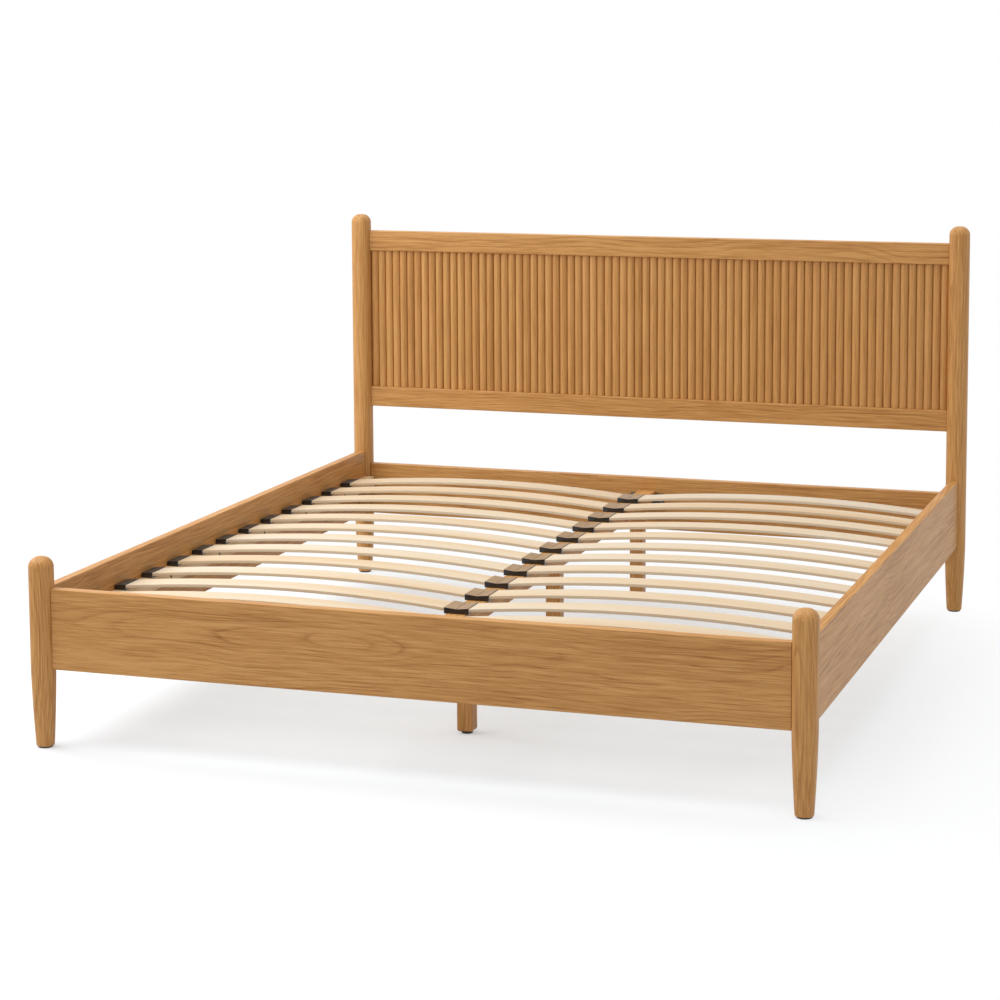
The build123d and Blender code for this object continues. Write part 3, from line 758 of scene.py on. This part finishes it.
def bend_slat(node):
    """One slat, swept along its arc."""
    low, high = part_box(node)
    middle, level, inner = slat_arc(node)
    centre = Vector((middle, (low.y + high.y) / 2, level))
    lean = math.asin((high.x - low.x) / 2 / (inner + SLAT_THICK))
    bm = new_stock()
    bmesh.ops.create_grid(bm, x_segments=1, y_segments=1, size=0.5)
    bmesh.ops.scale(bm, vec=(high.y - low.y, SLAT_THICK, 1.0), verts=bm.verts)
    bmesh.ops.bevel(bm, geom=bm.verts, offset=SLAT_EDGE, affect="VERTICES", segments=2, profile=0.5,
                    material=-1)
    upright = Matrix(((0, 0, 1), (1, 0, 0), (0, 1, 0))).to_4x4()
    bmesh.ops.transform(bm, matrix=upright, verts=bm.verts)
    bmesh.ops.translate(bm, vec=centre + Z * (inner + SLAT_THICK / 2), verts=bm.verts)
    bmesh.ops.rotate(bm, cent=centre, matrix=Matrix.Rotation(-lean, 3, "Y"), verts=bm.verts)
    bmesh.ops.delete(bm, geom=list(bm.faces), context="FACES_ONLY")
    bmesh.ops.spin(bm, geom=[*bm.verts, *bm.edges], cent=centre, axis=Y, angle=2 * lean, steps=SLAT_STEPS)
    open_ends = [e for e in bm.edges if e.is_boundary]
    bmesh.ops.holes_fill(bm, edges=open_ends, sides=0)

    def along_arc(p):
        out = p - centre
        through = math.hypot(out.x, out.z) - inner - SLAT_THICK / 2
        return Vector((math.atan2(out.x, out.z) * inner, out.y, through))

    note_grain(bm, along_arc, heart=(luck.uniform(0, 40), luck.uniform(-0.3, 0.3), 1.0))
    return hand_over(bm, node + "_birch", birch, "slat_wood", node)


for side in ("left", "right"):
    for row in range(1, ROWS + 1):
        slat = bend_slat(f"slat_{side}_{row:02d}")
print(2 * ROWS, "slats of", len(slat.data.polygons), "faces")

# %% [markdown]
# ## Slat holders
# A black cap grips each slat end: single caps on the ledgers, double ones over the beam. The cap is a rounded
# block with a roof that slopes with the slat. Its mouth is inset in one face, fitted to the slat there and
# pushed in on the same slope, so the pocket is real. The double cap has a mouth on each side and a shallow
# groove along the valley between its two halves.

# %% Mould the holders
CAP_EDGE = 0.0016
CAP_ROOF = 0.0021
CAP_GROOVE = 0.0007
MOUTH_GAP = 0.0004
MOUTH_INSET = 0.001
SIDE_DEPTH, CENTRE_DEPTH = 0.0258, 0.0282


def slat_level(node, x):
    """Height of a slat's underside at a place across the bed."""
    middle, level, inner = slat_arc(node)
    return level + math.sqrt(inner ** 2 - (x - middle) ** 2)


def cut_mouth(bm, slat, outward, depth):
    """Open one face of a cap for a slat end, and push the pocket in along the slat."""
    face = max((f for f in bm.faces if f.normal.dot(outward) > 0.999), key=lambda f: f.calc_area())
    mouth_x = face.calc_center_median().x
    bmesh.ops.inset_individual(bm, faces=[face], thickness=MOUTH_INSET)
    near, far = (corner.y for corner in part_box(slat))
    half_wide = (far - near) / 2 + MOUTH_GAP
    row = (far + near) / 2
    floor_level = slat_level(slat, mouth_x) - MOUTH_GAP
    tall = SLAT_THICK + 2 * MOUTH_GAP
    middle = face.calc_center_median()
    wide = max(v.co.y for v in face.verts) - min(v.co.y for v in face.verts)
    high = max(v.co.z for v in face.verts) - min(v.co.z for v in face.verts)
    stretch = (1, 2 * half_wide / wide, tall / high)
    bmesh.ops.scale(bm, vec=stretch, space=Matrix.Translation(-middle), verts=face.verts)
    bmesh.ops.translate(bm, vec=(0, row - middle.y, floor_level + tall / 2 - middle.z), verts=face.verts)
    inner_x = mouth_x - outward.x * depth
    back = bmesh.ops.extrude_discrete_faces(bm, faces=[face])["faces"][0]
    drop = slat_level(slat, inner_x) - MOUTH_GAP - floor_level
    bmesh.ops.translate(bm, vec=(-outward.x * depth, 0, drop), verts=back.verts)


def slope_roof(bm, slats, level):
    """Lower the top of a cap until it follows the slats, from a flat level."""
    for v in [v for v in bm.verts if v.co.z > level - HAIR]:
        slat = slats[-1] if v.co.x > 0 else slats[0]
        roof = slat_level(slat.format(1), v.co.x) + SLAT_THICK + CAP_ROOF
        bmesh.ops.translate(bm, vec=Z * (roof - level), verts=[v])


def mould_caps(node, slats, outwards, depth, name, material=plastic):
    """Mould one cap on the first row and repeat it on every row."""
    low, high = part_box(node)
    first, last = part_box(slats[0].format(1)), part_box(slats[0].format(ROWS))
    row, last_row = (first[0].y + first[1].y) / 2, (last[0].y + last[1].y) / 2
    half_deep = row - low.y
    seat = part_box("centre_beam")[1].z
    bm = blank(Vector((low.x, row - half_deep, seat)), Vector((high.x, row + half_deep, high.z)))
    slice_at(bm, X, (0.0,))
    slope_roof(bm, slats, high.z)
    ease(bm, [e for e in bm.edges if max(v.co.z for v in e.verts) > seat + HAIR
              and max(abs(v.co.x) for v in e.verts) > HAIR], CAP_EDGE, steps=3)
    for slat, outward in zip(slats, outwards):
        cut_mouth(bm, slat.format(1), outward, depth)
    slice_at(bm, X, (-CAP_GROOVE, CAP_GROOVE))
    valley = [v for v in bm.verts if abs(v.co.x) < HAIR and v.co.z > seat + SLAT_THICK]
    bmesh.ops.translate(bm, vec=-Z * CAP_GROOVE, verts=valley)
    cap = [*bm.verts, *bm.edges, *bm.faces]
    for index in range(1, ROWS):
        copy = bmesh.ops.duplicate(bm, geom=cap)["geom"]
        bmesh.ops.translate(bm, vec=Y * (last_row - row) * index / (ROWS - 1), verts=verts_of(copy))
    return hand_over(bm, name, material, "black_plastic", node)


LEFT_SLAT, RIGHT_SLAT = "slat_left_{:02d}", "slat_right_{:02d}"
left_caps = mould_caps("side_slat_holders_left", [LEFT_SLAT], [X], SIDE_DEPTH, "side_caps_left")
right_caps = mould_caps("side_slat_holders_right", [RIGHT_SLAT], [-X], SIDE_DEPTH, "side_caps_right")
# the middle caps take the tan top of dust and painted sheen
centre_caps = mould_caps("centre_slat_holders", [LEFT_SLAT, RIGHT_SLAT], [-X, X], CENTRE_DEPTH,
                         "centre_caps", dusty_sheen_plastic)
print("caps:", [len(c.data.polygons) for c in (left_caps, right_caps, centre_caps)], "faces")

# %% [markdown]
# ## Feet and glides
# The bed stands on four thin nailed glides and three screw feet under the beam. Each is turned: a half outline
# drawn from the middle to the rim and spun once round. The screw feet ride on their own bodies, because they
# wind down to level the bed.

# %% Turn the feet and glides
TURNS = 32
GLIDE_EDGE = 0.001
SCREW_FOOT_EDGE = 0.0012
STEM_RADIUS = 0.004


def turn_disc(bm, middle, radius, height, edge, stem_radius=0.0, stem_top=0.0):
    """A disc with a rounded lower edge, and a stem if one is asked for, spun from its outline."""
    outline = [(0, 0), (radius - edge, 0), (radius - edge * 0.3, edge * 0.3), (radius, edge), (radius, height)]
    outline += [(stem_radius, height), (stem_radius, stem_top), (0, stem_top)] if stem_top else [(0, height)]
    line = [bm.verts.new(middle + X * r + Z * z) for r, z in outline]
    edges = [bm.edges.new(pair) for pair in zip(line, line[1:])]
    bmesh.ops.spin(bm, geom=[*line, *edges], cent=middle, axis=Z, angle=math.tau, steps=TURNS, use_merge=True)
    bmesh.ops.remove_doubles(bm, verts=bm.verts, dist=HAIR)


bm = new_stock()
low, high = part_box("corner_glides")
for end in ("foot", "head"):
    for side in ("left", "right"):
        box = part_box(f"{end}_post_{side}")
        middle = (box[0] + box[1]) / 2
        middle.z = low.z
        turn_disc(bm, middle, high.x - abs(middle.x), box[0].z - low.z, GLIDE_EDGE)
hand_over(bm, "corner_glides_turned", plastic, "black_plastic", "corner_glides")

for place in ("front", "middle", "rear"):
    node = f"levelling_foot_{place}"
    low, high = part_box(node)
    middle = Vector(((low.x + high.x) / 2, (low.y + high.y) / 2, low.z))
    bm = new_stock()
    disc_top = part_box(f"centre_leg_{place}")[0].z - low.z
    radius = (high.x - low.x) / 2
    turn_disc(bm, middle, radius, disc_top, SCREW_FOOT_EDGE, STEM_RADIUS, high.z - low.z)
    hand_over(bm, node + "_turned", plastic, "black_plastic", node, body=f"foot_{place}")
print("four glides and three levelling feet")

# %% [markdown]
# ## Hardware that stays
# The dowels, bolts, washers, inserts, screws and hangers keep their solids: their shapes are already right,
# and most of them are inside the wood. They only need their finish.

# %% Finish the hardware
left_showing = {
    steel: ("rail_bolts", "rail_washers", "post_inserts", "ledger_screws", "beam_brackets", "bracket_screws",
            "leg_bolts", "leg_inserts"),
    beech: ("frame_dowels",),
}
for material, nodes in left_showing.items():
    for node in nodes:
        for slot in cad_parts[node].material_slots:
            slot.material = material
    print(material.name, "on", len(nodes), "groups of hardware")
